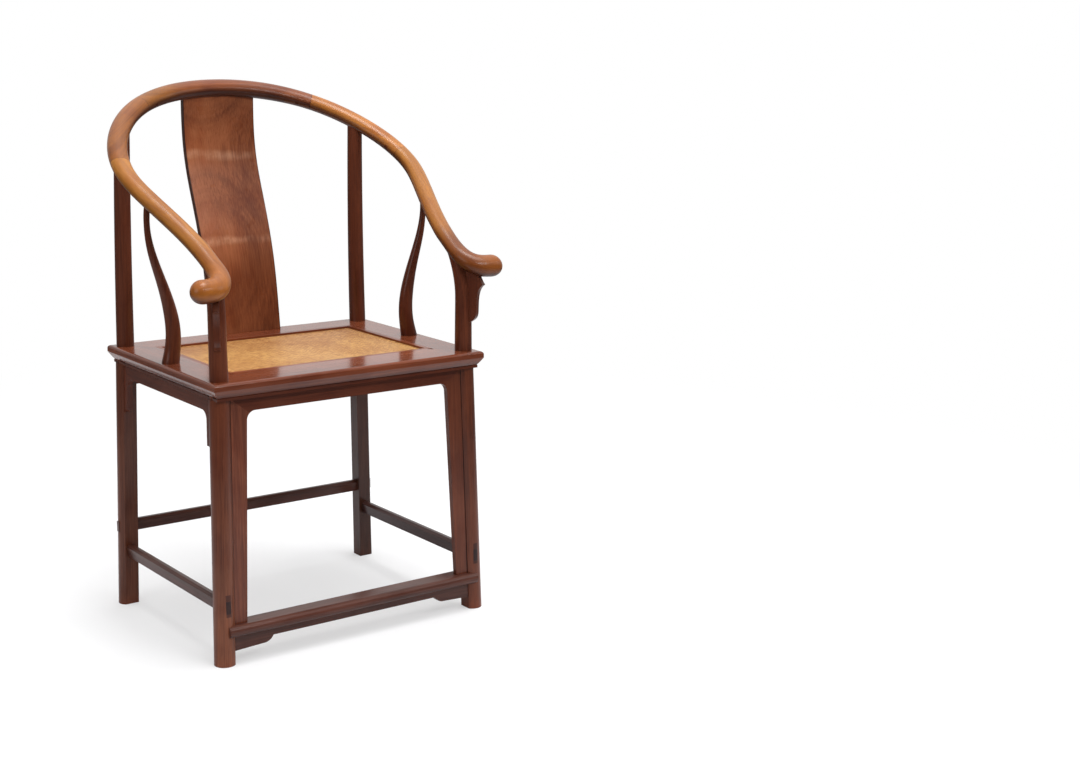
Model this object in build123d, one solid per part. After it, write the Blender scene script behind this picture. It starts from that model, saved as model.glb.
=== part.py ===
from build123d import *
import math
import os

# Horseshoe back armchair (quanyi) in hardwood with a soft cane seat.
# Millimetres, +Z up, front towards -Y, floor at z = 0. The seat frame is centred on x = 0 and
# y = 0 while it is drawn; at the end the whole chair moves along Y so that the origin is on the
# floor under the middle of the chair. Right-hand pieces are drawn and mirrored to the left.

# ---------------------------------------------------------------- driving dimensions
# Seat frame: four mitred members with a moulded edge.
seat_width = 570.0
seat_depth = 447.0
seat_height = 520.0
frame_thick = 32.0
side_member = 77.0  # from the frame's outer edge to the cane that shows
front_member = 89.0
rear_member = 75.0
edge_round = 6.0  # top arris
edge_band = 12.0  # from the top down to where the moulding draws in
edge_cove = 10.0  # how far the moulding is drawn in
edge_middle = 0.45  # share of the draw-in reached halfway down the moulding
edge_foot = (1.2, 5.0)  # plain band at the foot: how far it stands out, and its height
frame_tenon = (20.0, 10.0)  # width and height of the through tenons at the mitres
frame_tenon_in = 53.5  # from the frame's corner to the tenon, along Y
frame_tenon_low = 11.0  # top of the tenon below the seat

# Legs: round outside, square inside, splayed; they run through the frame to the rail.
leg_radius_top = 18.4
leg_radius_foot = 19.6
leg_flat = 15.0  # from the leg's axis to its flat inner faces
leg_in_side = 25.5  # from the frame's edge to the leg's axis at the seat
leg_in_front = 33.0
leg_in_rear = 26.5
leg_splay = 14.0  # outwards from seat to floor
leg_rake = 13.0  # forwards or backwards from seat to floor
post_radius = 16.6  # above and inside the frame
rear_post_top = 14.6
front_post_top = 15.0
front_post_bend = 95.0  # height over which the front post bends back to the arm
post_shoulder = 3.0  # shoulder of a post inside the rail, below the rail's middle line
post_tenon = (9.0, 10.0)  # radius, and height above the shoulder

# Horseshoe rail: its middle line lies in one plane that falls to the front.
crest_rise = 476.0  # middle line above the seat, at the crest
grip_rise = 165.0  # the same at the handgrips
crest_behind = 66.5  # crest behind the frame's rear edge
shoulder_in = (109.0, 42.0)  # shoulder: inside the frame's side, in front of the crest
rear_post_in = (33.5, 39.0)  # over the rear post: inside the side, in front of the rear edge
widest_out = 16.0  # widest point outside the frame's side
widest_from_rear = 171.0  # and in front of the rear edge
side_post_out = 5.0  # over the side post, outside the frame's side
waist_in = 33.0  # over the front post, inside the frame's side
waist_from_front = 54.0  # and behind the front edge
bend_in = (27.5, 19.5)  # where the grip turns outwards: inside the side, behind the front edge
tip_out = (37.0, -3.0)  # end of the grip: outside the side, in front of the front edge
crest_half = (18.5, 15.5)  # half width in the rail's plane, and half thickness
shoulder_half = (18.3, 14.3)
arm_half = (17.6, 14.0)
grip_half = (21.5, 20.5)
grip_length = 105.0  # over which the arm swells into the grip
crest_swell = 120.0  # over which one length thins into the next
station_step = 30.0  # spacing of the sections of the rail
dome_steps = (1.5, 1.0, 0.7, 0.42, 0.2, 0.07, 0.015)  # sections of the round end, in radii

# Scarf joints of the rail: half laps with a blind tongue, locked by a tapered wedge.
crest_joint = 168.0  # from the crest's middle, along the rail
arm_joint = 389.0
scarf_half = 26.0  # half the length of the lap
scarf_tongue = (9.0, 5.0, 5.0)  # width, height and length
wedge_size = (7.0, 9.0)  # side of the square wedge at its inner and its outer end

# Back splat.
splat_width = 153.0
splat_thick = 11.0
splat_from_rear = 21.5  # its foot in front of the frame's rear edge
splat_curve = (  # share of the height, share of the way back
    (0.16, 0.10),
    (0.31, 0.24),
    (0.40, 0.37),
    (0.55, 0.65),
    (0.68, 0.89),
    (0.76, 0.98),
    (0.87, 1.02),
)
splat_housing = 10.0  # depth let into the rear member
splat_top = 5.0  # end of the splat below the rail's middle line

# Side posts: S-curved and tapering. Height above the seat, outward shift and radius.
side_post_foot = 16.3
side_post_knots = (
    (36.0, -6.5, 14.2),
    (73.0, -6.5, 13.2),
    (108.0, -0.5, 11.8),
    (145.0, 9.7, 9.8),
    (181.0, 21.2, 8.2),
    (218.0, 30.8, 6.6),
    (254.0, 34.6, 5.5),
)
side_post_tip = 4.7
side_post_pin = (9.0, 18.0)  # radius and depth of the pin in the seat frame

# Brackets in front of the front posts, cut from thin board.
bracket_thick = 11.0
bracket_turn = 28.0  # degrees outwards from straight ahead
bracket_edge = (  # reach from the post's axis, height above the seat
    (34.0, 149.0),
    (38.0, 138.5),
    (43.8, 129.0),
    (36.0, 120.5),
    (32.0, 108.0),
    (30.2, 80.0),
    (27.0, 64.5),
    (19.0, 57.5),
    (12.0, 53.5),
)

# Stretchers: footrest lowest, side stretchers higher, rear stretcher highest.
stretcher_height = 111.3
stretcher_tall = 25.5
stretcher_top = 3.5  # half width of the flat on top
stretcher_ridge = 9.2  # half width at the ridges
stretcher_sole = 5.5  # half width underneath
ridge_drop = 4.5  # ridges below the top
stretcher_tenon = (9.5, 23.5)
rear_stretcher_height = 160.0
rear_stretcher_tall = 23.0
rear_tenon = (9.0, 21.0)
tenon_stub = 1.0  # how far the rear stretcher's tenons stand out
footrest_top = 75.0
footrest_thick = 21.0
footrest_back = 14.0  # behind the legs' axis
footrest_front = 27.0  # in front of it
footrest_tenon = (14.0, 10.0)
footrest_tenon_long = 10.0  # beyond the leg's axis

# Aprons and spandrels.
apron_thick = 11.0
apron_drop = 25.5  # below the frame
apron_set = 10.6  # front face of an apron from the legs' axis
apron_round = 17.0
upright_top = 33.0  # width of the front apron's upright lengths, at the top
upright_foot = 26.0
spandrel_width = 15.0
spandrel_drop = 95.0  # below the frame
rear_spandrel_drop = 52.0
spandrel_step = 7.0  # roll at the foot of a spandrel
spandrel_round = 9.0
foot_apron_drop = 15.0  # below the footrest
foot_bracket_drop = 29.5
foot_bracket_long = 79.0  # from the leg's flat face
foot_bracket_knots = ((5.0, 6.3), (16.0, 11.5))  # its curved end: inwards and down from its tip
tongue_rise = 5.0  # tongues of the aprons in the frame and in the footrest
tongue_thick = 4.0
tongue_short = 40.0  # how far the tongue stops short of the legs

# Seat: cane mat over a palm fibre mat, pressed into a rabbet by thin strips.
mat_thick = 2.0
strip_size = (9.0, 4.0)
ledge_show = 3.0  # ledge of the frame inside the strips
underlay_thick = 3.0
brace_apart = 150.0
brace_size = (24.0, 18.0)
brace_top = 12.0  # top of a brace's ends below the seat
brace_bow = 24.0
brace_tenon = (10.0, 12.0, 14.0)  # width, height and length

fit = 0.1  # clearance of a tenon, tongue or scribed shoulder in its seat
overlap = 1.0  # how far a tenon or pin starts inside its own piece
spare = 4.0  # length left on a board until it is trimmed

# ---------------------------------------------------------------- derived places
frame_foot = seat_height - frame_thick
half_w = seat_width / 2
half_d = seat_depth / 2
leg_x = half_w - leg_in_side
front_y = -half_d + leg_in_front
rear_y = half_d - leg_in_rear
crest_y = half_d + crest_behind
tip_y = -half_d - tip_out[1]
rail_fall = (crest_rise - grip_rise) / (crest_y - tip_y)
rail_cos = 1 / math.hypot(1, rail_fall)
rail_sin = rail_fall * rail_cos
crest_z = seat_height + crest_rise
rail_plane = Plane(
    origin=(0, 0, crest_z - crest_y * rail_fall),
    x_dir=(1, 0, 0),
    z_dir=(0, -rail_sin, rail_cos),
)
parts = {}


def one(shape):
    """The one solid of a result; slivers of a cut are not kept."""
    return max(shape.solids(), key=lambda s: s.volume)


def keep(name, shape):
    parts[name] = one(shape)


def keep_pair(name, shape):
    """Keep a right-hand piece and its mirror image; name has a star for the side."""
    solid = one(shape)
    parts[name.replace("*", "right")] = solid
    parts[name.replace("*", "left")] = mirror(solid, about=Plane.YZ)


def both(shape):
    """A cutter on the right and its mirror image, as a list."""
    return [shape, mirror(shape, about=Plane.YZ)]


def block(x0, x1, y0, y1, z0, z1):
    """Box between two corners."""
    return Pos((x0 + x1) / 2, (y0 + y1) / 2, (z0 + z1) / 2) * Box(x1 - x0, y1 - y0, z1 - z0)


def leg_axis(z, y_seat, rake):
    """Point of a right-hand leg's straight axis at height z."""
    share = (seat_height - z) / seat_height
    return Vector(leg_x + leg_splay * share, y_seat + rake * share, z)


def front_axis(z):
    return leg_axis(z, front_y, -leg_rake)


def rear_axis(z):
    return leg_axis(z, rear_y, leg_rake)


def blend(t):
    """Smooth step from 0 to 1."""
    t = min(max(t, 0.0), 1.0)
    return t * t * (3 - 2 * t)


# ---------------------------------------------------------------- horseshoe rail
half_plan = [
    (half_w - shoulder_in[0], crest_y - shoulder_in[1]),
    (half_w - rear_post_in[0], half_d - rear_post_in[1]),
    (half_w + widest_out, half_d - widest_from_rear),
    (half_w + side_post_out, 0),
    (half_w - waist_in, -half_d + waist_from_front),
    (half_w - bend_in[0], -half_d + bend_in[1]),
    (half_w + tip_out[0], tip_y),
]
plan = [(-x, y) for x, y in reversed(half_plan)] + [(0, crest_y)] + half_plan
rail_line = (rail_plane * Spline(*[(x, y / rail_cos) for x, y in plan])).edges()[0]
half_length = rail_line.length / 2


def rail_point(s):
    """Point of the rail's middle line at length s from the crest's middle."""
    return rail_line @ (0.5 + s / rail_line.length)


def rail_at(s):
    """Plane across the rail at length s: X towards the inside of the horseshoe, Z along."""
    along = rail_line % (0.5 + s / rail_line.length)
    return Plane(origin=rail_point(s), x_dir=along.cross(rail_plane.z_dir), z_dir=along)


def rail_half(s, swell=0.0):
    """Half width and half thickness of the rail at length s."""
    s = abs(s)
    end = half_length - s
    to_shoulder = blend((s - crest_joint / 2) / crest_swell)
    to_arm = blend((s - arm_joint) / crest_swell)
    to_grip = blend(1 - (end - grip_half[0]) / grip_length)
    dome = 1.0
    if end < grip_half[0]:
        dome = math.sqrt(1 - (1 - end / grip_half[0]) ** 2)
    sizes = []
    for i in (0, 1):
        size = crest_half[i] + (shoulder_half[i] - crest_half[i]) * to_shoulder
        size += (arm_half[i] - size) * to_arm
        size += (grip_half[i] - size) * to_grip
        sizes.append(size * dome + swell)
    return sizes


def rail_length(s0, s1, tip=False, swell=0.0):
    """A length of the rail: a loft of ellipses on a grid of stations that all lengths share."""
    first = math.floor(s0 / station_step)
    last = math.ceil(s1 / station_step)
    stations = [i * station_step for i in range(first, last + 1)]
    if tip:
        radius = grip_half[0]
        stations = [s for s in stations if s < half_length - (dome_steps[0] + 0.5) * radius]
        stations += [half_length - radius * d for d in dome_steps]
    return one(loft([rail_at(s) * Ellipse(*rail_half(s, swell)) for s in stations]))


def scarf_blocks(s):
    """Saw cuts of a scarf at length s: what the piece before it and the one after it lose."""
    here = rail_at(s)
    up = 1 if here.y_dir.Z > 0 else -1
    wide = 80.0
    deep = scarf_half + 3 * station_step
    width, height, length = scarf_tongue

    def slab(w, t0, t1, z0, z1):
        return here * Pos(0, up * (t0 + t1) / 2, (z0 + z1) / 2) * Box(w, t1 - t0, z1 - z0)

    tongue = slab(width, 0, height, scarf_half, scarf_half + length)
    heel = slab(width, -height, 0, -scarf_half - length, -scarf_half)
    beyond = slab(wide, -wide, wide, scarf_half, deep) + slab(wide, -wide, 0, -scarf_half, deep)
    before = slab(wide, -wide, wide, -deep, -scarf_half) + slab(wide, 0, wide, -deep, scarf_half)
    return beyond - tongue + heel, before + tongue - heel


def scarf_wedge(s, swell=0.0):
    """Tapered square wedge across the lap, longer than the rail is wide."""
    here = rail_at(s)
    inner, outer = wedge_size
    reach = 30.0
    ends = []
    for side, size in ((reach, inner), (-reach, outer)):
        face = Plane(origin=here.origin + here.x_dir * side, x_dir=here.y_dir, z_dir=here.x_dir)
        ends.append(face * Rectangle(size + 2 * swell, size + 2 * swell))
    return loft(ends, ruled=True)


margin = scarf_half + scarf_tongue[2] + 4
crest_beyond, shoulder_before = scarf_blocks(crest_joint)
shoulder_beyond, arm_before = scarf_blocks(arm_joint)
rail_crest = rail_length(-crest_joint - margin, crest_joint + margin)
rail_shoulder = rail_length(crest_joint - margin, arm_joint + margin)
rail_arm = rail_length(arm_joint - margin, half_length, tip=True)
wedge_crest = one(scarf_wedge(crest_joint) & rail_shoulder)
wedge_arm = one(scarf_wedge(arm_joint) & rail_shoulder)
crest_slot = scarf_wedge(crest_joint, fit)
arm_slot = scarf_wedge(arm_joint, fit)
for cutter in both(crest_beyond) + both(crest_slot):
    rail_crest = rail_crest - cutter
for cutter in (shoulder_before, shoulder_beyond, crest_slot, arm_slot):
    rail_shoulder = one(rail_shoulder - cutter)
rail_arm = one(rail_arm - arm_before - arm_slot)


# ---------------------------------------------------------------- legs and their posts
def slanted(axis, sketch):
    """A horizontal outline carried up a leg's slanted axis, from the floor to the frame."""
    rise = axis(frame_foot) - axis(0)
    return extrude(Pos(axis(0)) * sketch, amount=rise.length, dir=rise)


def lower_leg(axis, front, swell=0.0):
    """Tapered round leg with a square inner corner and flat inner faces."""
    inner = 1 if front else -1
    rise = axis(frame_foot) - axis(0)
    beyond = leg_radius_foot
    along = Plane(origin=axis(0) - rise.normalized() * beyond, z_dir=rise)
    long = rise.length + 2 * beyond
    align = (Align.CENTER, Align.CENTER, Align.MIN)
    shaft = along * Cone(leg_radius_foot + swell, leg_radius_top + swell, long, align=align)
    wide = 3 * leg_radius_foot
    corner = Pos(-leg_flat / 2, inner * leg_flat / 2) * Rectangle(leg_flat, leg_flat)
    window = Pos(wide / 2 - leg_flat, inner * (leg_flat - wide / 2)) * Rectangle(wide, wide)
    return (shaft + slanted(axis, corner)) & slanted(axis, window)


def post(line, radii, swell=0.0, straight=False):
    """Round post along a line of points."""
    return one(loft([Pos(p) * Circle(r + swell) for p, r in zip(line, radii)], ruled=straight))


def frame_pin(axis, swell=0.0):
    """Round part of a leg inside the seat frame, on the leg's own slant."""
    rise = axis(seat_height) - axis(frame_foot)
    start = Pos(axis(frame_foot)) * Circle(post_radius + swell)
    return extrude(start, amount=rise.length, dir=rise)


def rail_tenon(top, swell=0.0):
    radius, height = post_tenon
    place = Pos(top) * Pos(0, 0, height / 2 - overlap)
    return place * Cylinder(radius + swell, height + 2 * overlap)


def rail_over(y, low, high):
    """Length along the rail at which it passes over the line y in plan."""
    for _ in range(30):
        mid = (low + high) / 2
        if rail_point(mid).Y > y:
            low = mid
        else:
            high = mid
    return mid


def steps(first, last, shares):
    return [first + (last - first) * t for t in shares]


def joined(base, top, shares_x, shares_y, shares_z):
    xs = steps(base.X, top.X, shares_x)
    ys = steps(base.Y, top.Y, shares_y)
    zs = steps(base.Z, top.Z, shares_z)
    return [Vector(x, y, z) for x, y, z in zip(xs, ys, zs)]


shoulder_down = Vector(0, 0, post_shoulder)
rear_s = rail_over(half_d - rear_post_in[1], crest_joint, arm_joint)
side_s = rail_over(0, arm_joint, half_length - 150)
front_s = rail_over(-half_d + waist_from_front, arm_joint + 150, half_length - 60)
rear_top = rail_point(rear_s) - shoulder_down
side_top = rail_point(side_s) - shoulder_down
front_top = rail_point(front_s) - shoulder_down

sixths = [i / 6 for i in range(7)]
squared = [t * t for t in sixths]
rear_line = joined(rear_axis(seat_height), rear_top, sixths, squared, sixths)
rear_radii = steps(post_radius, rear_post_top, sixths)
bend = front_post_bend / (front_top.Z - seat_height)
front_shares = [1 - bend + bend * t for t in sixths]
front_line = joined(front_axis(seat_height), front_top, squared, squared, front_shares)
front_radii = steps(post_radius, front_post_top, front_shares)


def front_shaft(swell=0.0):
    """Straight length of a front post, from the seat to where it bends."""
    base = Pos(front_axis(seat_height)) * Circle(post_radius + swell)
    neck = Pos(front_line[0]) * Circle(front_radii[0] + swell)
    return one(loft([base, neck], ruled=True))


rear_post = post(rear_line, rear_radii, straight=True)
front_post = post(front_line, front_radii)
rear_leg = lower_leg(rear_axis, False) + frame_pin(rear_axis) + rear_post + rail_tenon(rear_top)
front_leg = lower_leg(front_axis, True) + frame_pin(front_axis) + front_shaft() + front_post
front_leg = front_leg + rail_tenon(front_top)
rear_seat = post(rear_line, rear_radii, fit, straight=True) + rail_tenon(rear_top, fit)
rail_shoulder = rail_shoulder - rear_seat
rail_arm = rail_arm - rear_seat - post(front_line, front_radii, fit) - rail_tenon(front_top, fit)

# ---------------------------------------------------------------- side posts
side_base = Vector(leg_x, 0, seat_height)
side_line = [side_base]
side_line += [Vector(leg_x + out, 0, seat_height + high) for high, out, _ in side_post_knots]
side_line += [side_top]
side_radii = [side_post_foot] + [radius for _, _, radius in side_post_knots] + [side_post_tip]


def side_pin(swell=0.0):
    """Round pin of a side post in the frame, from its lower end up into the post."""
    radius, depth = side_post_pin
    align = (Align.CENTER, Align.CENTER, Align.MIN)
    foot = Pos(leg_x, 0, seat_height - depth - swell)
    return foot * Cylinder(radius + swell, depth + swell + overlap, align=align)


side_post = post(side_line, side_radii) + side_pin()
rail_arm = rail_arm - post(side_line, side_radii, fit)

# ---------------------------------------------------------------- arm brackets
bracket_front = Spline(*bracket_edge[:3]) + Spline(*bracket_edge[2:])
bracket_top = front_top.Z - seat_height
bracket_back = [
    bracket_edge[-1],
    (0, bracket_edge[-1][1]),
    (0, bracket_top),
    (bracket_edge[0][0] - 6, bracket_top - 10),
    bracket_edge[0],
]
bracket_way = math.radians(bracket_turn)
bracket_plane = Plane(
    origin=front_axis(seat_height),
    x_dir=(math.sin(bracket_way), -math.cos(bracket_way), 0),
    z_dir=(-math.cos(bracket_way), -math.sin(bracket_way), 0),
)
bracket_face = make_face(bracket_front + Polyline(*bracket_back))
bracket = extrude(bracket_plane * bracket_face, amount=bracket_thick / 2, both=True)
bracket = bracket - post(front_line, front_radii, fit) - front_shaft(fit)
bracket = bracket - rail_length(arm_joint - margin, half_length, tip=True, swell=fit)

# ---------------------------------------------------------------- back splat
splat_low = Vector(0, half_d - splat_from_rear, seat_height - splat_housing)
splat_foot = Vector(0, half_d - splat_from_rear, seat_height)
splat_end = Vector(0, crest_y, crest_z - splat_top)
splat_knots = [
    Vector(0, *[splat_foot.Y + (crest_y - splat_foot.Y) * out, seat_height + crest_rise * up])
    for up, out in splat_curve
]
splat_line = Spline(*[(p.Y, p.Z) for p in [splat_foot] + splat_knots + [splat_end]])
splat_face = trace(splat_line, splat_thick)
splat = extrude(Plane.YZ * splat_face, amount=splat_width / 2, both=True)
splat_foot_block = block(
    -splat_width / 2,
    splat_width / 2,
    splat_foot.Y - splat_thick / 2,
    splat_foot.Y + splat_thick / 2,
    splat_low.Z,
    seat_height + 2,
)
splat = splat + splat_foot_block
splat_room = extrude(
    Plane.YZ * trace(splat_line, splat_thick + 2 * fit), amount=splat_width / 2 + fit, both=True
)
rail_crest = rail_crest - splat_room

# ---------------------------------------------------------------- seat frame


def member_profile(shows):
    """Section of a frame member: x inwards from its outer edge, y up."""
    strip_wide, strip_thick = strip_size
    wall = shows + ledge_show
    rabbet = seat_height - strip_thick - mat_thick
    band = seat_height - edge_band
    out, tall = edge_foot
    lip = edge_cove - out
    foot_top = frame_foot + tall
    arris = edge_round * (1 - math.sqrt(0.5))
    edges = Polyline(
        (edge_cove, foot_top),
        (lip, foot_top),
        (lip, frame_foot),
        (wall, frame_foot),
        (wall, rabbet),
        (shows - strip_wide, rabbet),
        (shows - strip_wide, seat_height),
        (edge_round, seat_height),
    )
    edges += ThreePointArc(
        (edge_round, seat_height), (arris, seat_height - arris), (0, seat_height - edge_round)
    )
    edges += Line((0, seat_height - edge_round), (0, band))
    halfway = (edge_cove * edge_middle, (band + foot_top) / 2)
    edges += ThreePointArc((0, band), halfway, (edge_cove, foot_top))
    return make_face(edges)


def member(shows, origin, inwards, along):
    plane = Plane(origin=origin, x_dir=inwards, z_dir=along)
    return extrude(plane * member_profile(shows), amount=seat_width, both=True)


side_wall = half_w - side_member - ledge_show
front_wall = -half_d + front_member + ledge_show
rear_wall = half_d - rear_member - ledge_show


def plan_block(points, low=frame_foot - 5, high=seat_height + 5):
    face = make_face(Polyline(*points, close=True))
    return extrude(Pos(0, 0, low) * face, amount=high - low)


front_corner = -half_d + half_w - side_wall
rear_corner = half_w - half_d + rear_wall
side_plan = plan_block(
    [
        (half_w, -half_d),
        (side_wall, front_corner),
        (side_wall, rear_wall),
        (rear_corner, rear_wall),
        (half_w, half_d),
    ]
)
front_plan = plan_block(
    [
        (-half_w, -half_d),
        (half_w, -half_d),
        (side_wall, front_corner),
        (side_wall, front_wall),
        (-side_wall, front_wall),
        (-side_wall, front_corner),
    ]
)
rear_plan = plan_block(
    [(-half_w, half_d), (-rear_corner, rear_wall), (rear_corner, rear_wall), (half_w, half_d)]
)
side_bar = member(side_member, (half_w, 0, 0), (-1, 0, 0), (0, 1, 0))
front_bar = member(front_member, (0, -half_d, 0), (0, 1, 0), (1, 0, 0))
rear_bar = member(rear_member, (0, half_d, 0), (0, -1, 0), (-1, 0, 0))


def corner_tenon(side, swell=0.0):
    """Through tenon of the front or rear member at the right-hand corner; side is -1 or 1."""
    wide, tall = frame_tenon
    near = half_d - frame_tenon_in
    y0, y1 = sorted((side * near, side * (near - wide)))
    top = seat_height - frame_tenon_low
    return block(
        side_wall + 2,
        half_w + 5,
        y0 - swell,
        y1 + swell,
        top - tall - swell,
        top + swell,
    )


seat_side = side_bar & side_plan
seat_front = front_bar & front_plan
seat_rear = rear_bar & rear_plan
for tenon in both(one(corner_tenon(-1) & side_bar)):
    seat_front = seat_front + tenon
for tenon in both(one(corner_tenon(1) & side_bar)):
    seat_rear = seat_rear + tenon
seat_side = seat_side - corner_tenon(-1, fit) - corner_tenon(1, fit)
seat_side = seat_side - frame_pin(front_axis, fit) - frame_pin(rear_axis, fit)
seat_side = seat_side - side_pin(fit)
for cutter in both(frame_pin(front_axis, fit)):
    seat_front = seat_front - cutter
for cutter in both(frame_pin(rear_axis, fit)) + [splat_room]:
    seat_rear = seat_rear - cutter
seat_rear = seat_rear - block(
    -splat_width / 2 - fit,
    splat_width / 2 + fit,
    splat_foot.Y - splat_thick / 2 - fit,
    splat_foot.Y + splat_thick / 2 + fit,
    splat_low.Z - fit,
    seat_height + 5,
)

# ---------------------------------------------------------------- mat, underlay and strips
strip_wide, strip_thick = strip_size
cane_x = half_w - side_member
cane_front = -half_d + front_member
cane_rear = half_d - rear_member
mat_low = seat_height - strip_thick - mat_thick
mat = block(
    -cane_x - strip_wide + fit,
    cane_x + strip_wide - fit,
    cane_front - strip_wide + fit,
    cane_rear + strip_wide - fit,
    mat_low,
    mat_low + mat_thick,
)
underlay = block(
    -side_wall + fit, side_wall - fit, front_wall + fit, rear_wall - fit, mat_low - underlay_thick, mat_low
)
strip_low = mat_low + mat_thick
out_x = cane_x + strip_wide - fit
out_front = cane_front - strip_wide + fit
out_rear = cane_rear + strip_wide - fit


def strip(points):
    return plan_block(points, strip_low, seat_height)


strip_side = strip(
    [(cane_x, cane_front), (out_x, out_front), (out_x, out_rear), (cane_x, cane_rear)]
)
strip_front = strip(
    [(-out_x, out_front), (out_x, out_front), (cane_x, cane_front), (-cane_x, cane_front)]
)
strip_rear = strip(
    [(-out_x, out_rear), (out_x, out_rear), (cane_x, cane_rear), (-cane_x, cane_rear)]
)

# ---------------------------------------------------------------- seat braces
brace_high = seat_height - brace_top
brace_middle = (front_wall + rear_wall) / 2
brace_wide, brace_tall = brace_size


def brace_arc(z):
    return ThreePointArc((front_wall, z), (brace_middle, z - brace_bow), (rear_wall, z))


brace_side = (
    brace_arc(brace_high)
    + Line((rear_wall, brace_high), (rear_wall, brace_high - brace_tall))
    + brace_arc(brace_high - brace_tall)
    + Line((front_wall, brace_high), (front_wall, brace_high - brace_tall))
)
brace = Pos(brace_apart / 2, 0, 0) * extrude(
    Plane.YZ * make_face(brace_side), amount=brace_wide / 2, both=True
)


def brace_tenons(swell=0.0):
    wide, tall, long = brace_tenon
    top = brace_high - (brace_tall - tall) / 2
    return block(
        brace_apart / 2 - wide / 2 - swell,
        brace_apart / 2 + wide / 2 + swell,
        front_wall - long - swell,
        rear_wall + long + swell,
        top - tall - swell,
        top + swell,
    )


brace_ends = brace_tenons() - block(0, half_w, front_wall + 1, rear_wall - 1, 0, crest_z)
for end in brace_ends.solids():
    brace = brace + end
for cutter in both(brace_tenons(fit)):
    seat_front = seat_front - cutter
    seat_rear = seat_rear - cutter


# ---------------------------------------------------------------- aprons in the leg frames
def face_plane(point, along, out):
    """Plane of a board's front face: x_dir along the board, z_dir outwards, under the frame."""
    return Plane(origin=point, x_dir=along, z_dir=out)


def edge_line(plane, upper, lower):
    """Distance along the board at a given height, on the line through two points in space."""
    a = plane.to_local_coords(upper)
    b = plane.to_local_coords(lower)
    return lambda v: a.X + (b.X - a.X) * (v - a.Y) / (b.Y - a.Y)


front_face = face_plane(
    front_axis(frame_foot) - Vector(front_axis(frame_foot).X, apron_set, 0),
    (1, 0, 0),
    (0, -seat_height, leg_rake),
)
rear_face = face_plane(
    rear_axis(frame_foot) - Vector(rear_axis(frame_foot).X, -apron_set, 0),
    (-1, 0, 0),
    (0, seat_height, leg_rake),
)
side_face = face_plane(
    Vector(front_axis(frame_foot).X + apron_set, 0, frame_foot),
    (0, 1, 0),
    (seat_height, 0, leg_splay),
)


def flat_line(plane, axis, toward_x, toward_y):
    """Line of a leg's flat face in a board's plane, short of the leg by the fit."""
    step = Vector(toward_x, toward_y, 0)
    return edge_line(plane, axis(frame_foot) + step, axis(0) + step)


inset = leg_flat + fit
front_right = flat_line(front_face, front_axis, -inset, -apron_set)
rear_left = flat_line(rear_face, rear_axis, -inset, apron_set)
side_near = flat_line(side_face, front_axis, apron_set, inset)
side_far = flat_line(side_face, rear_axis, apron_set, -inset)


def hood(plane, left, right, length, wide_top, wide_low, roll):
    """Apron with a hanging length at each end: returns the apron and the two lengths."""
    top = spare
    low = -length
    toe = low + roll
    corner_l = (left(-apron_drop) + wide_top, -apron_drop)
    corner_r = (right(-apron_drop) - wide_top, -apron_drop)
    outline = [
        (left(top), top),
        (right(top), top),
        (right(low), low),
        (right(low) - roll, toe),
        (right(toe) - wide_low, toe),
        corner_r,
        corner_l,
        (left(toe) + wide_low, toe),
        (left(low) + roll, toe),
        (left(low), low),
    ]
    outline = [p for i, p in enumerate(outline) if i == 0 or p != outline[i - 1]]
    whole = make_face(Polyline(*outline, close=True))
    inner = whole.vertices().filter_by_position(Axis.Y, -apron_drop - 0.01, -apron_drop + 0.01)
    whole = fillet(inner, apron_round)
    past = 1.8
    peak_l = (left(0), 0)
    peak_r = (right(0), 0)
    dip_l = tuple(a + (b - a) * past for a, b in zip(peak_l, corner_l))
    dip_r = tuple(a + (b - a) * past for a, b in zip(peak_r, corner_r))
    rise_l = tuple(a + (b - a) * -0.2 for a, b in zip(peak_l, corner_l))
    rise_r = tuple(a + (b - a) * -0.2 for a, b in zip(peak_r, corner_r))
    wedge = make_face(Polyline(rise_l, rise_r, dip_r, dip_l, close=True))
    under = block(-seat_width, seat_width, -seat_width, seat_width, 0, frame_foot)
    apron = one(extrude(plane * (whole & wedge), amount=-apron_thick) & under)
    lengths = extrude(plane * (whole - wedge), amount=-apron_thick) & under
    ends = sorted(lengths.solids(), key=lambda s: plane.to_local_coords(s.center()).X)
    return apron, ends[0], ends[-1]


def tongue(plane, left, right, base, swell=0.0):
    """Tongue standing on a board's upper edge, in the middle of its thickness."""
    u0 = left(0) + tongue_short - swell
    u1 = right(0) - tongue_short + swell
    v0 = base - overlap
    v1 = base + tongue_rise + swell
    wide = tongue_thick + 2 * swell
    place = Pos((u0 + u1) / 2, (v0 + v1) / 2, -apron_thick / 2)
    return plane * (place * Box(u1 - u0, v1 - v0, wide))


def front_left(v):
    return -front_right(v)


def rear_right(v):
    return -rear_left(v)


apron_front, _, upright_right = hood(
    front_face, front_left, front_right, frame_foot - footrest_top + 10, upright_top, upright_foot, 0
)
over_footrest = block(0, seat_width, -seat_depth, 0, footrest_top, seat_height)
upright = one(upright_right & over_footrest)
apron_rear, spandrel_rear, _ = hood(
    rear_face,
    rear_left,
    rear_right,
    rear_spandrel_drop,
    spandrel_width,
    spandrel_width,
    spandrel_step,
)
apron_side, spandrel_front, spandrel_back = hood(
    side_face, side_near, side_far, spandrel_drop, spandrel_width, spandrel_width, spandrel_step
)
apron_front = apron_front + tongue(front_face, front_left, front_right, 0)
apron_rear = apron_rear + tongue(rear_face, rear_left, rear_right, 0)
apron_side = apron_side + tongue(side_face, side_near, side_far, 0)
seat_front = seat_front - tongue(front_face, front_left, front_right, 0, fit)
seat_rear = seat_rear - tongue(rear_face, rear_left, rear_right, 0, fit)
seat_side = seat_side - tongue(side_face, side_near, side_far, 0, fit)

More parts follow.
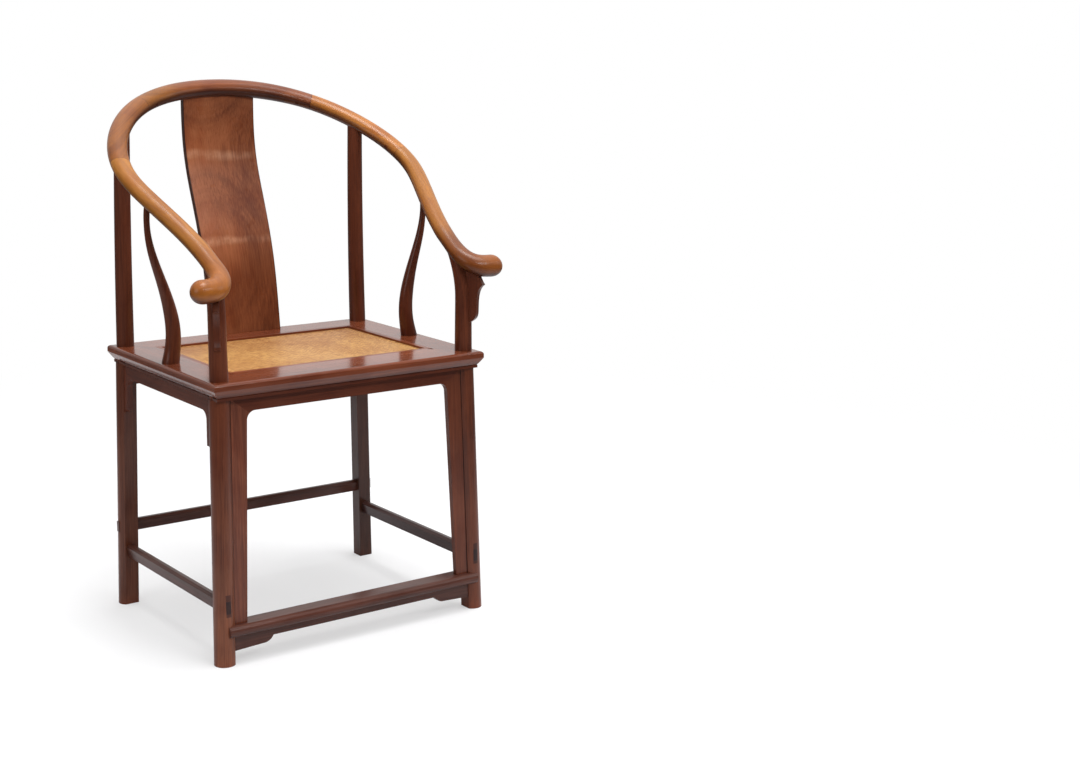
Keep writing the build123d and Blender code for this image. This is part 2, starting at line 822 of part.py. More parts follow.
# ---------------------------------------------------------------- stretchers
def stretcher_section(tall):
    """Section of a stretcher with a ridge along each side, y up."""
    top = tall / 2
    ridge = top - ridge_drop
    return make_face(
        Polyline(
            (-stretcher_sole, -top),
            (stretcher_sole, -top),
            (stretcher_ridge, ridge),
            (stretcher_top, top),
            (-stretcher_top, top),
            (-stretcher_ridge, ridge),
            close=True,
        )
    )


stretcher_axis = front_axis(stretcher_height)
stretcher_back = rear_axis(stretcher_height)
stretcher_plane = Plane(
    origin=(stretcher_back.X, stretcher_back.Y, stretcher_height), x_dir=(1, 0, 0), z_dir=(0, -1, 0)
)
stretcher = extrude(
    stretcher_plane * stretcher_section(stretcher_tall), amount=stretcher_back.Y - stretcher_axis.Y
)
for axis, front in ((front_axis, True), (rear_axis, False)):
    stretcher = stretcher - lower_leg(axis, front, fit)


def side_tenons(swell=0.0):
    wide, tall = stretcher_tenon
    return block(
        stretcher_axis.X - wide / 2 - swell,
        stretcher_axis.X + wide / 2 + swell,
        stretcher_axis.Y - leg_radius_foot - 5,
        stretcher_back.Y + leg_radius_foot + 5,
        stretcher_height - tall / 2 - swell,
        stretcher_height + tall / 2 + swell,
    )


def rear_tenons(swell=0.0):
    wide, tall = rear_tenon
    axis = rear_axis(rear_stretcher_height)
    reach = axis.X + leg_radius_foot + tenon_stub
    return block(
        -reach,
        reach,
        axis.Y - wide / 2 - swell,
        axis.Y + wide / 2 + swell,
        rear_stretcher_height - tall / 2 - swell,
        rear_stretcher_height + tall / 2 + swell,
    )


def footrest_tenons(swell=0.0):
    wide, tall = footrest_tenon
    axis = front_axis(footrest_top - footrest_thick / 2)
    reach = axis.X + footrest_tenon_long + swell
    return block(
        -reach,
        reach,
        axis.Y - wide / 2 - swell,
        axis.Y + wide / 2 + swell,
        axis.Z - tall / 2 - swell,
        axis.Z + tall / 2 + swell,
    )


leg_front_body = lower_leg(front_axis, True)
leg_rear_body = lower_leg(rear_axis, False)
side_tenon_bar = side_tenons()
for part_leg in (leg_front_body, leg_rear_body):
    stretcher = stretcher + one(side_tenon_bar & part_leg)
front_leg = front_leg - side_tenons(fit)
rear_leg = rear_leg - side_tenons(fit)

rear_stretcher_axis = rear_axis(rear_stretcher_height)
rear_stretcher_plane = Plane(
    origin=(0, rear_stretcher_axis.Y, rear_stretcher_height), x_dir=(0, 1, 0), z_dir=(1, 0, 0)
)
stretcher_rear = extrude(
    rear_stretcher_plane * stretcher_section(rear_stretcher_tall),
    amount=rear_stretcher_axis.X,
    both=True,
)
for cutter in both(lower_leg(rear_axis, False, fit)):
    stretcher_rear = stretcher_rear - cutter
stretcher_rear = stretcher_rear + (
    rear_tenons() - block(-leg_x + 30, leg_x - 30, 0, seat_depth, 0, seat_height)
)
rear_leg = rear_leg - rear_tenons(fit)

# ---------------------------------------------------------------- footrest and its apron
footrest_axis = front_axis(footrest_top - footrest_thick / 2)
nose = footrest_axis.Y - footrest_front
footrest_low = footrest_top - footrest_thick
footrest_back_y = footrest_axis.Y + footrest_back
nose_round = footrest_thick / 2
footrest_section = make_face(
    Polyline(
        (nose + nose_round, footrest_low),
        (footrest_back_y, footrest_low),
        (footrest_back_y, footrest_top),
        (nose + nose_round, footrest_top),
    )
    + ThreePointArc(
        (nose + nose_round, footrest_top),
        (nose, footrest_top - nose_round),
        (nose + nose_round, footrest_low),
    )
)
footrest = extrude(Plane.YZ * footrest_section, amount=footrest_axis.X, both=True)
for cutter in both(lower_leg(front_axis, True, fit)):
    footrest = footrest - cutter
footrest = footrest + (
    footrest_tenons() - block(-leg_x + 30, leg_x - 30, -seat_depth, 0, 0, seat_height)
)
front_leg = front_leg - footrest_tenons(fit)

low = front_face.to_local_coords(Vector(0, front_face.origin.Y, footrest_low)).Y
shelf = low + spare
apron_low = low - foot_apron_drop
bracket_low = low - foot_bracket_drop
foot_edge = front_right(apron_low) - foot_bracket_long
foot_points = [(foot_edge, apron_low)]
foot_points += [(foot_edge + along, apron_low - down) for along, down in foot_bracket_knots]
foot_points += [(front_right(bracket_low), bracket_low)]
foot_line = Polyline(
    (0, apron_low),
    (0, shelf),
    (front_right(shelf), shelf),
    foot_points[3],
    foot_points[2],
) + Spline(*foot_points[:3][::-1]) + Line(foot_points[0], (0, apron_low))
foot_half = make_face(foot_line)
foot_face = foot_half + mirror(foot_half, about=Plane.YZ)
foot_apron = extrude(front_face * foot_face, amount=-apron_thick)
foot_apron = foot_apron & block(-half_w, half_w, -seat_depth, 0, 0, footrest_low)
foot_apron = foot_apron + tongue(front_face, front_left, front_right, low)
footrest = footrest - tongue(front_face, front_left, front_right, low, fit)

# ---------------------------------------------------------------- parts
keep("rail_crest", rail_crest)
keep_pair("rail_shoulder_*", rail_shoulder)
keep_pair("rail_arm_*", rail_arm)
keep_pair("crest_wedge_*", wedge_crest)
keep_pair("arm_wedge_*", wedge_arm)
keep("back_splat", splat)
keep_pair("rear_leg_*", rear_leg)
keep_pair("front_leg_*", front_leg)
keep_pair("side_post_*", side_post)
keep_pair("arm_bracket_*", bracket)
keep("seat_rail_front", seat_front)
keep("seat_rail_rear", seat_rear)
keep_pair("seat_rail_*", seat_side)
keep("cane_mat", mat)
keep("palm_underlay", underlay)
keep("mat_strip_front", strip_front)
keep("mat_strip_rear", strip_rear)
keep_pair("mat_strip_*", strip_side)
keep_pair("seat_brace_*", brace)
keep("apron_front", apron_front)
keep_pair("apron_front_*", upright)
keep("apron_rear", apron_rear)
keep_pair("spandrel_rear_*", spandrel_rear)
keep_pair("apron_side_*", apron_side)
keep_pair("spandrel_*_front", spandrel_front)
keep_pair("spandrel_*_rear", spandrel_back)
keep_pair("stretcher_*", stretcher)
keep("stretcher_rear", stretcher_rear)
keep("footrest", footrest)
keep("footrest_apron", foot_apron)

# The origin goes under the middle of the chair.
reach = [s.bounding_box() for s in parts.values()]
middle = (min(b.min.Y for b in reach) + max(b.max.Y for b in reach)) / 2
os.makedirs("parts", exist_ok=True)
for name, shape in parts.items():
    export_step(Pos(0, -middle, 0) * shape, f"parts/{name}.step")
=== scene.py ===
import math

import bpy
import numpy as np
from mathutils import Matrix, Vector


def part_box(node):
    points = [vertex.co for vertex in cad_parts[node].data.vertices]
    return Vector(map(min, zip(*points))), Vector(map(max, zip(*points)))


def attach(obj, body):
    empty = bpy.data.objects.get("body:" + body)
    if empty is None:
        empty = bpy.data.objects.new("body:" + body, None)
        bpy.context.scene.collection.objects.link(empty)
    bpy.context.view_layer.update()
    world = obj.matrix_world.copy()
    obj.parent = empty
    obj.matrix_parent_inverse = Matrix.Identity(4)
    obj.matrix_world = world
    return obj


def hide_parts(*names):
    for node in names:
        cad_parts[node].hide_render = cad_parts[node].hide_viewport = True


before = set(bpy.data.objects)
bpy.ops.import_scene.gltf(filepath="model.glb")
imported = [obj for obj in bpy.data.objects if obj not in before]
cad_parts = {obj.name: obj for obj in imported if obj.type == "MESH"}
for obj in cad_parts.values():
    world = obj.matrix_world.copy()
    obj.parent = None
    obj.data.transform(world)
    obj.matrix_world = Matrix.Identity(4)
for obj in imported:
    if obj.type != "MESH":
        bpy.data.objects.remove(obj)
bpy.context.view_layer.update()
bpy.context.scene.view_settings.view_transform = "Standard"

# Chinese horseshoe back armchair: polished hardwood with a woven cane seat.
# Metres, floor at z = 0, front towards -Y, right-hand pieces at +X.


# ------------------------------------------------------------------ horseshoe rail
# Dense golden-brown hardwood in five lengths, each sawn from straight timber, so that the grain
# turns at every joint. Half laps join them, a tapered wedge locks each one, and wax and hands have
# polished the whole. Painted shade makes the lower half of the rail redder and darker, and the left
# shoulder is painted darker than the right.
class Expr:
    """One output socket of a material's node tree, with arithmetic."""

    def __init__(self, tree, socket):
        self.tree = tree
        self.socket = socket

    def node(self, kind, values, out=0, **settings):
        """Adds any node: settings first, then values or links by socket name or number."""
        new = self.tree.nodes.new(kind)
        for key, setting in settings.items():
            setattr(new, key, setting)
        for key, value in values.items():
            if isinstance(value, Expr):
                self.tree.links.new(value.socket, new.inputs[key])
            else:
                new.inputs[key].default_value = value
        return Expr(self.tree, new.outputs[out])

    def math(self, operation, *values):
        """A Math node on the values given."""
        return self.node("ShaderNodeMath", dict(enumerate(values)), operation=operation)

    def __add__(self, other):
        return self.math("ADD", self, other)

    def __radd__(self, other):
        return self.math("ADD", other, self)

    def __sub__(self, other):
        return self.math("SUBTRACT", self, other)

    def __rsub__(self, other):
        return self.math("SUBTRACT", other, self)

    def __mul__(self, other):
        return self.math("MULTIPLY", self, other)

    def __rmul__(self, other):
        return self.math("MULTIPLY", other, self)

    def __truediv__(self, other):
        return self.math("DIVIDE", self, other)

    def __abs__(self):
        return self.math("ABSOLUTE", self)

    def floor(self):
        """The whole number at or below this value."""
        return self.math("FLOOR", self)

    def fract(self):
        """What is left of this value over its floor."""
        return self.math("FRACT", self)

    def root(self):
        """The square root of this value."""
        return self.math("SQRT", self)

    def between(self, low, high):
        """Smooth step: 0 below low, 1 above high."""
        settings = {"interpolation_type": "SMOOTHSTEP", "clamp": True}
        values = {"Value": self, "From Min": low, "From Max": high}
        return self.node("ShaderNodeMapRange", values, **settings)

    def within(self, middle, half, soft):
        """1 where this value is within half of the middle, fading to 0 over soft."""
        return 1.0 - abs(self - middle).between(half, half + soft)

    def tint(self, first, second):
        """Mixes two colours, each a tuple or an Expr, by this value."""
        values = {0: self}
        for slot, colour in ((6, first), (7, second)):
            values[slot] = colour if isinstance(colour, Expr) else (*colour, 1)
        return self.node("ShaderNodeMix", values, out=2, data_type="RGBA")

    def times(self, colour, tint):
        """Multiplies a colour by a tint, as strongly as this value."""
        values = {0: self, 6: colour, 7: (*tint, 1)}
        return self.node("ShaderNodeMix", values, out=2, data_type="RGBA", blend_type="MULTIPLY")

    def dot(self, direction):
        """How far this vector reaches along a direction."""
        values = {0: self, 1: direction}
        return self.node("ShaderNodeVectorMath", values, out=1, operation="DOT_PRODUCT")

    def noise(self, scale, detail=2.0, roughness=0.5):
        """Noise around 0.5 at this vector, with scale cells in one unit of it."""
        values = {"Vector": self, "Scale": scale, "Detail": detail, "Roughness": roughness}
        return self.node("ShaderNodeTexNoise", values)

    def bump(self, strength, distance):
        """The normal of a surface on which this value is a height."""
        values = {"Height": self, "Strength": strength, "Distance": distance}
        return self.node("ShaderNodeBump", values)


def new_material(name):
    """An empty material: its shader, and the Object coordinates of whatever wears it."""
    material = bpy.data.materials.new(name)
    material.use_nodes = True
    tree = material.node_tree
    shader = tree.nodes["Principled BSDF"]
    coords = tree.nodes.new("ShaderNodeTexCoord")
    return material, shader, Expr(tree, coords.outputs["Object"])


def vector(*values):
    """Three values put together as one vector; at least one of them is an Expr."""
    first = next(value for value in values if isinstance(value, Expr))
    return first.node("ShaderNodeCombineXYZ", dict(enumerate(values)))


def plug(shader, **values):
    """Sets or links sockets of a shader; underscores stand for spaces."""
    for key, value in values.items():
        socket = shader.inputs[key.replace("_", " ")]
        if isinstance(value, Expr):
            value.tree.links.new(value.socket, socket)
        else:
            socket.default_value = value


def srgb(*values):
    """A colour as it looks, 0 to 255 a channel, turned into linear light."""
    share = np.array(values) / 255
    return tuple(np.where(share <= 0.04045, share / 12.92, ((share + 0.055) / 1.055) ** 2.4))


rightward, rearward, upward = (1, 0, 0), (0, 1, 0), (0, 0, 1)
sides = (("left", -1), ("right", 1))
pith_beside, pith_behind = 0.31, 0.17  # from the timber to the pith line that its rings follow
ring_wander = 0.012  # how far the rings stray from round
seed_step = 0.37  # how far one seed moves the patterns
# Cells of noise in a metre: growth layers, streaks and pores across the grain, then the broad
# changes of tone, the redder patches and the polish that hands leave.
layer_scale, streak_scale, pore_scale = 150.0, 520.0, 1500.0
cloud_scale, blush_scale, touch_scale = 9.0, 24.0, 19.0
blush_tint = (0.76, 0.58, 0.48)  # redder patches of heartwood
pore_tint = (0.45, 0.33, 0.26)  # old wax and dirt in the pores


def hardwood(name, grain, pale, deep, seed, gloss=0.36, wax=0.4, marks=(), fine=1.0):
    """Oiled hardwood with its grain along a direction a; b and c lie across it. Growth layers
    are noise of the distance r = (b^2 + c^2)^0.5 from a pith line beside the timber, so they
    follow its rings; streaks and pores are noise drawn out along a. Each mark is a function of
    the coordinates with the tint it lays on; fine scales the contrast of streaks and pores."""
    material, shader, place = new_material(name)
    along = Vector(grain).normalized()
    askew = Vector((0.31, 0.17, 0.93) if abs(along.z) < 0.8 else (0.9, 0.4, 0.1))
    side = along.cross(askew)
    side.normalize()
    flat = along.cross(side)
    a, b, c = (place.dot(tuple(axis)) for axis in (along, side, flat))
    shift = seed_step * seed
    wander = vector(a * 1.2 + shift, b * 2.0, c * 2.0).noise(2.0, 1.0) - 0.5
    x = b + pith_beside + wander * ring_wander
    y = c - pith_behind
    r = (x * x + y * y).root()
    layers = vector(r + shift, a * 0.02, 0.0).noise(layer_scale, 4.0, 0.6)
    streaks = vector(b + shift, c, a * 0.012).noise(streak_scale, 3.0, 0.6)
    clouds = vector(b + shift, c, a * 0.3).noise(cloud_scale, 2.0)
    share = layers * 0.55 + (streaks - 0.5) * (0.55 * fine) + clouds * 0.7 - 0.125
    colour = share.between(0.1, 0.9).tint(deep, pale)
    blush = vector(b + shift, c - shift, a * 0.5).noise(blush_scale, 2.0).between(0.48, 0.66)
    colour = (blush * 0.5).times(colour, blush_tint)
    dashes = vector(b, c + shift, a * 0.02).noise(pore_scale, 1.0).between(0.60, 0.70)
    colour = (dashes * (0.4 * fine)).times(colour, pore_tint)
    for where, tint in marks:
        colour = where(place).times(colour, tint)
    handled = place.noise(touch_scale, 3.0, 0.6)
    relief = (streaks * 0.4 - dashes * 0.6) * fine + handled * 0.4
    plug(
        shader,
        Base_Color=colour,
        Roughness=handled * 0.18 + (gloss - 0.09) + dashes * (0.10 * fine),
        Coat_Weight=(0.6 + handled * 0.8) * wax,
        Coat_Roughness=gloss * 0.55,
        Coat_IOR=1.46,
        Specular_IOR_Level=0.12,
        Normal=relief.bump(0.04, 0.0006),
    )
    return material


def dress(node, material):
    """Puts a material on a node that keeps its own shape."""
    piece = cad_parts[node]
    piece.data.materials.clear()
    piece.data.materials.append(material)


rail_pale = srgb(206, 136, 52)
rail_deep = srgb(122, 64, 18)
# The two shoulders are lit and shaded copies of one wood: the left is painted darker, the right
# lighter.
shoulder_pale = {"left": srgb(174, 102, 34), "right": srgb(224, 144, 58)}
shoulder_deep = {"left": srgb(88, 44, 10), "right": srgb(126, 66, 18)}
crest_pale = srgb(166, 90, 42)
crest_deep = srgb(90, 40, 18)
rail_look = {"gloss": 0.50, "wax": 0.60, "fine": 0.6}
rail_up = (0, -0.520, 0.854)  # square to the plane that the rail lies in
rail_plane = 0.7163  # how far along rail_up that plane is
rail_slope = (0, 0.854, 0.520)  # straight up that plane

# Middle of each half lap on the right and the rail's direction there.
crest_joint = ((0.1612, 0.2238, 0.9751), (0.869, -0.4226, -0.2574))
arm_joint = ((0.2933, 0.0781, 0.8864), (0.2656, -0.8233, -0.5016))
lap_half = 0.026  # half the length of a lap
line_half, line_soft = 0.0004, 0.0005
joint_tint = (0.16, 0.10, 0.08)


def joint_line(joint, sign, after):
    """Fine dark line across the rail at the two shoulders of a lap: on the upper half it is
    lap_half past the middle of the lap, on the lower half as far before it. The halves are
    swapped on a length that comes after the joint, so there it lies twice lap_half from the
    seam."""
    (x, y, z), (along_x, along_y, along_z) = joint
    middle = Vector((sign * x, y, z))
    along = Vector((sign * along_x, along_y, along_z))
    up = Vector(rail_up)
    swap = lap_half if after else -lap_half

    def where(place):
        reach = place.dot(tuple(along)) - along.dot(middle)
        above = place.dot(tuple(up)) - up.dot(middle)
        upper = above.math("GREATER_THAN", above, 0.0)
        half = upper * 2.0 - 1.0
        return (reach + half * swap).within(0.0, line_half, line_soft)

    return where, joint_tint


ring_middle = 0.3959  # along rail_slope, the middle of the arc that crest and shoulders follow
ring_crest, ring_arm = 0.3426, 0.3215  # the arc's radius at the crest and where the arms begin
ring_high, ring_low = 0.6982, 0.5276  # along rail_slope, where it changes from one to the other
under_low, under_high = -0.0075, 0.0050  # the shade fades between these, from the middle line
under_ragged = 0.006  # how far the edge of the shade strays
under_shade_tint = (0.15, 0.08, 0.06)


def rail_under_shade(place):
    """Painted shade on the lower half of the rail. The height above its middle line is the distance
    from the rail's plane, times its share of straight up, plus the distance outside the arc, times
    the same of the arc's outward direction."""
    off = place.dot(rail_up) - rail_plane
    x = place.dot(rightward)
    up = place.dot(rail_slope) - ring_middle
    r = (x * x + up * up).root()
    to_crest = up.between(ring_low - ring_middle, ring_high - ring_middle)
    outside = r - ring_arm - to_crest * (ring_crest - ring_arm)
    lean = up.math("MAXIMUM", up, 0.0) / r
    above = off * rail_up[2] + outside * lean * rail_slope[2]
    ragged = (place.noise(16.0, 2.0) - 0.5) * under_ragged
    return (1.0 - (above + ragged).between(under_low, under_high)) * 0.9


grip_front, grip_rear = -0.19, -0.10  # along Y, where the dark of the grips fades out
grip_tint = {"left": (0.80, 0.66, 0.60), "right": (0.50, 0.36, 0.36)}


def darker_grip(place):
    """The handgrips, darker than the arms behind them, the right one darker than the left."""
    behind = place.dot(rearward) + place.noise(14.0, 2.0) * 0.08
    return 1.0 - behind.between(grip_front, grip_rear)


crest_left_end = -0.12  # along X, where the yellower tone begins to fade towards the middle
crest_left_tint = (0.96, 1.22, 0.6)


def pale_left(place):
    """The crest's left end, yellower than the rest."""
    across = place.dot(rightward) + place.noise(20.0, 2.0) * 0.05
    return 1.0 - across.between(crest_left_end, 0.0)


under_shade_mark = (rail_under_shade, under_shade_tint)
crest_seed, shoulder_seed, arm_seed, wedge_seed = 1, 2, 5, 8
for side, sign in sides:
    shoulder_ends = [joint_line(crest_joint, sign, True), joint_line(arm_joint, sign, False)]
    shoulder_wood = hardwood(
        f"shoulder_wood_{side}",
        (sign * 0.72, -0.6, -0.35),
        shoulder_pale[side],
        shoulder_deep[side],
        shoulder_seed + sign,
        marks=[*shoulder_ends, under_shade_mark],
        **rail_look,
    )
    arm_wood = hardwood(
        f"arm_wood_{side}",
        (sign * -0.12, -0.85, -0.52),
        rail_pale,
        rail_deep,
        arm_seed + sign,
        marks=[joint_line(arm_joint, sign, True), (darker_grip, grip_tint[side]), under_shade_mark],
        **rail_look,
    )
    wedge_wood = hardwood(
        f"wedge_wood_{side}",
        (sign * 0.6, 0.6, 0.3),
        crest_pale,
        crest_deep,
        wedge_seed + sign,
        marks=[under_shade_mark],
    )
    dress(f"rail_shoulder_{side}", shoulder_wood)
    dress(f"rail_arm_{side}", arm_wood)
    dress(f"crest_wedge_{side}", wedge_wood)
    dress(f"arm_wedge_{side}", wedge_wood)
crest_ends = [joint_line(crest_joint, sign, False) for _, sign in sides]
crest_wood = hardwood(
    "crest_wood",
    rightward,
    crest_pale,
    crest_deep,
    crest_seed,
    marks=[*crest_ends, (pale_left, crest_left_tint), under_shade_mark],
    **rail_look,
)
dress("rail_crest", crest_wood)

# ------------------------------------------------------------------ back splat
# One plank with plain upright grain, planed to an S and polished. Its upper end is let into the
# rail and its foot into the rear member of the seat frame.
splat_pale = srgb(180, 108, 70)
splat_deep = srgb(90, 44, 28)
splat_look = {"gloss": 0.30, "wax": 0.6}
splat_seed = 11
band_high = (0.866, 0.700)  # heights of two painted highlights, pale bands where the S bends and catches light
band_half = 0.011  # how far a band fades above and below its middle
band_wander = 0.03  # how far it strays up and down
highlight_tint = (3.0, 5.6, 8.5)
splat_edge = 0.0748  # from the middle to where painted shade on the narrow edges begins
edge_fade = 0.0012
narrow_shade_tint = (0.20, 0.14, 0.12)
shade_low, shade_high = 0.60, 0.73  # heights between which the painted shade on the foot fades out
shade_tint = (0.66, 0.60, 0.56)


def highlight_band(high):
    """Painted highlight: a soft pale band across the plank, wandering a little up and down."""

    def where(place):
        height = place.dot(upward) + place.noise(11.0, 4.0, 0.6) * band_wander
        patchy = place.noise(40.0, 3.0, 0.6).between(0.30, 0.68) * 0.20 + 0.05
        return height.within(high + band_wander / 2, 0.0005, band_half) * patchy

    return where


def shaded_foot(place):
    """Painted shade on the lower end of the plank."""
    return 1.0 - place.dot(upward).between(shade_low, shade_high)


def shaded_narrow_edge(place):
    """Painted shade along both narrow edges."""
    return abs(place.dot(rightward)).between(splat_edge, splat_edge + edge_fade)


splat_marks = [(highlight_band(high), highlight_tint) for high in band_high]
splat_marks += [(shaded_narrow_edge, narrow_shade_tint), (shaded_foot, shade_tint)]
splat_wood = hardwood(
    "splat_wood",
    (0, 0.2, 0.98),
    splat_pale,
    splat_deep,
    splat_seed,
    marks=splat_marks,
    **splat_look,
)
dress("back_splat", splat_wood)

# ------------------------------------------------------------------ legs and posts
# Four timbers that run from the floor to the rail, and two slender posts under the arms. The feet
# are pale and dry where polish has worn off; the ends of the side stretchers' tenons show as dark
# upright marks on the front legs. Below the seat the rear legs carry painted light and shade, and
# the front legs a painted sheen that fades upwards.
leg_pale = srgb(118, 61, 38)
leg_deep = srgb(60, 27, 17)
leg_seed = 13
leg_lean = 0.03  # how far the legs lean inwards for each metre up
foot_low, foot_high = 0.012, 0.045  # the wear fades between these, less the ragged part
foot_ragged = 0.03
foot_tint = (1.4, 1.3, 1.25)
rear_low, rear_high = 0.46, 0.50  # heights between which a rear leg changes to its painted light and shade
rear_tint = {"left": (1.15, 1.35, 1.5), "right": (0.52, 0.70, 0.92)}
sheen_low, sheen_high = 0.08, 0.42  # heights between which the painted sheen on a front leg fades out
sheen_tint = {"left": (1.5, 1.85, 2.0), "right": (1.0, 1.05, 1.1)}
tenon_half = 0.0047  # half the width of a tenon's end
tenon_low, tenon_high = 0.094, 0.135  # heights of the lower and upper end of its mark
tenon_soft = 0.0006
front_leg_x = 0.2705  # axis of a front leg at the height of its tenon end
front_leg_face = -0.236  # along Y; the tenon's end is coloured in front of this
face_fade = 0.002
tenon_tint = (0.30, 0.24, 0.30)


def worn_foot(place):
    """Scuffed lower end: strongest at the floor, gone by a ragged line about 30 mm up."""
    ragged = place.noise(70.0, 3.0, 0.6) * foot_ragged
    return (1.0 - (place.dot(upward) + ragged).between(foot_low, foot_high)) * 0.6


def rear_leg_light_shade(place):
    """Painted light and shade on a rear leg below the seat: lighter on the left, darker on the
    right.
    """
    return 1.0 - place.dot(upward).between(rear_low, rear_high)


def front_leg_sheen(place):
    """Painted sheen, paler and greyer towards the foot of a front leg, strongest on the left."""
    return 1.0 - place.dot(upward).between(sheen_low, sheen_high)


def tenon_end(place):
    """Rectangle of end grain on the front of a front leg, either side of the chair."""
    across = abs(place.dot(rightward)).within(front_leg_x, tenon_half, tenon_soft)
    middle = (tenon_low + tenon_high) / 2
    height = place.dot(upward).within(middle, middle - tenon_low, tenon_soft)
    front = 1.0 - place.dot(rearward).between(front_leg_face, front_leg_face + face_fade)
    return across * height * front * 0.85


foot_mark = (worn_foot, foot_tint)
tenon_mark = (tenon_end, tenon_tint)
for side, sign in sides:
    uprights = {
        "front_leg": [foot_mark, (front_leg_sheen, sheen_tint[side]), tenon_mark],
        "rear_leg": [foot_mark, (rear_leg_light_shade, rear_tint[side])],
        "side_post": [],
    }
    for index, (name, marks) in enumerate(uprights.items()):
        seed = leg_seed + 2 * index + sign
        grain = (sign * -leg_lean, 0, 1)
        wood = hardwood(f"{name}_wood_{side}", grain, leg_pale, leg_deep, seed, marks=marks)
        dress(f"{name}_{side}", wood)

# ------------------------------------------------------------------ arm brackets
# Small cusped boards of the same dark wood as the legs, with upright grain. Each fills the
# corner between a handgrip and the front of its post, and is glued along both edges.
upright_grain = (0, 0, 1)
bracket_seed = 20
for side, sign in sides:
    name = f"arm_bracket_wood_{side}"
    wood = hardwood(name, upright_grain, leg_pale, leg_deep, bracket_seed + sign)
    dress(f"arm_bracket_{side}", wood)

# ------------------------------------------------------------------ seat frame
# Four members mitred at the corners and strips that hold the mat down; the upper faces are the
# glossiest part of the chair.
seat_pale = srgb(142, 76, 48)
seat_deep = srgb(88, 40, 25)
seat_look = {"gloss": 0.24, "wax": 0.62}
frame_seed, strip_seed = 23, 29
long_grain = (1, 0, 0)
deep_grain = (0, 1, 0)
lip_low, lip_high = 0.494, 0.503  # heights between which the shade under the lip fades out
lip_shade_tint = (0.56, 0.50, 0.50)


def lip_shade(place):
    """Painted shade under the moulded lip."""
    return 1.0 - place.dot(upward).between(lip_low, lip_high)


ends = {"front": long_grain, "rear": long_grain, "left": deep_grain, "right": deep_grain}
for index, (end, grain) in enumerate(ends.items()):
    wood = hardwood(
        f"seat_rail_wood_{end}",
        grain,
        seat_pale,
        seat_deep,
        frame_seed + index,
        marks=[(lip_shade, lip_shade_tint)],
        **seat_look,
    )
    dress(f"seat_rail_{end}", wood)
    strip_wood = hardwood(f"mat_strip_wood_{end}", grain, seat_pale, seat_deep, strip_seed + index)
    dress(f"mat_strip_{end}", strip_wood)

# ------------------------------------------------------------------ aprons and spandrels
# Thin boards between the legs, tongued into the frame above; those at the front run on down the
# legs to the footrest.
board_pale = srgb(108, 54, 34)
board_deep = srgb(66, 28, 18)
board_seed = 37
boards = {
    "apron_front": long_grain,
    "apron_front_left": upright_grain,
    "apron_front_right": upright_grain,
    "apron_rear": long_grain,
    "spandrel_rear_left": upright_grain,
    "spandrel_rear_right": upright_grain,
    "apron_side_left": deep_grain,
    "apron_side_right": deep_grain,
    "spandrel_left_front": upright_grain,
    "spandrel_left_rear": upright_grain,
    "spandrel_right_front": upright_grain,
    "spandrel_right_rear": upright_grain,
}
# The left upright length is painted lighter than the right one, which takes the legs' tone: painted
# light.
lit_upright_pale = srgb(152, 86, 60)
lit_upright_deep = srgb(80, 40, 29)
leg_face_x = 0.2585  # from the middle to a front leg's flat face, at the floor
leg_face_lean = 0.0269  # how far that face leans inwards for each metre up
groove_from, groove_to = 0.0008, 0.0024  # how far in from the face the dark fades out
groove_tint = (0.22, 0.18, 0.16)


def groove(place):
    """Dark joint between an upright length and the flat, leaning face of its leg."""
    leg_face = leg_face_x - place.dot(upward) * leg_face_lean
    inside = leg_face - abs(place.dot(rightward))
    return 1.0 - inside.between(groove_from, groove_to)


for index, (node, grain) in enumerate(boards.items()):
    shades, marks = (board_pale, board_deep), []
    if node.startswith("apron_front_"):
        shades = (lit_upright_pale, lit_upright_deep) if node.endswith("left") else (leg_pale, leg_deep)
        marks = [(groove, groove_tint)]
    wood = hardwood(f"{node}_wood", grain, *shades, board_seed + index, marks=marks)
    dress(node, wood)

# ------------------------------------------------------------------ stretchers and footrest
# Bars of the frame's dark wood low between the legs and tenoned into them, the footrest at the
# front with a small apron under it, and two bowed braces tenoned into the seat frame.
bar_pale = srgb(104, 62, 50)
bar_deep = srgb(48, 28, 24)
# The right stretcher takes a darker copy of the bars' wood: painted shade.
shaded_bar_pale = srgb(78, 50, 46)
shaded_bar_deep = srgb(38, 25, 24)
bar_seed = 53
bars = {
    "stretcher_left": deep_grain,
    "stretcher_right": deep_grain,
    "stretcher_rear": long_grain,
    "footrest": long_grain,
    "footrest_apron": long_grain,
    "seat_brace_left": deep_grain,
    "seat_brace_right": deep_grain,
}
for index, (node, grain) in enumerate(bars.items()):
    marks = [tenon_mark] if node in ("stretcher_left", "stretcher_right") else []
    shades = (shaded_bar_pale, shaded_bar_deep) if node == "stretcher_right" else (bar_pale, bar_deep)
    wood = hardwood(f"{node}_wood", grain, *shades, bar_seed + index, marks=marks)
    dress(node, wood)


# ------------------------------------------------------------------ cane mat
# Split cane woven in a herringbone twill, stretched over the frame and pressed into its rabbet;
# it has sunk a few millimetres under years of use.
def unit_grid(columns, rows):
    """Two arrays of rows x columns: u goes 0 to 1 along a row, v goes 0 to 1 down a column."""
    u = np.linspace(0, 1, columns)[None, :] * np.ones((rows, 1))
    v = np.linspace(0, 1, rows)[:, None] * np.ones((1, columns))
    return u, v


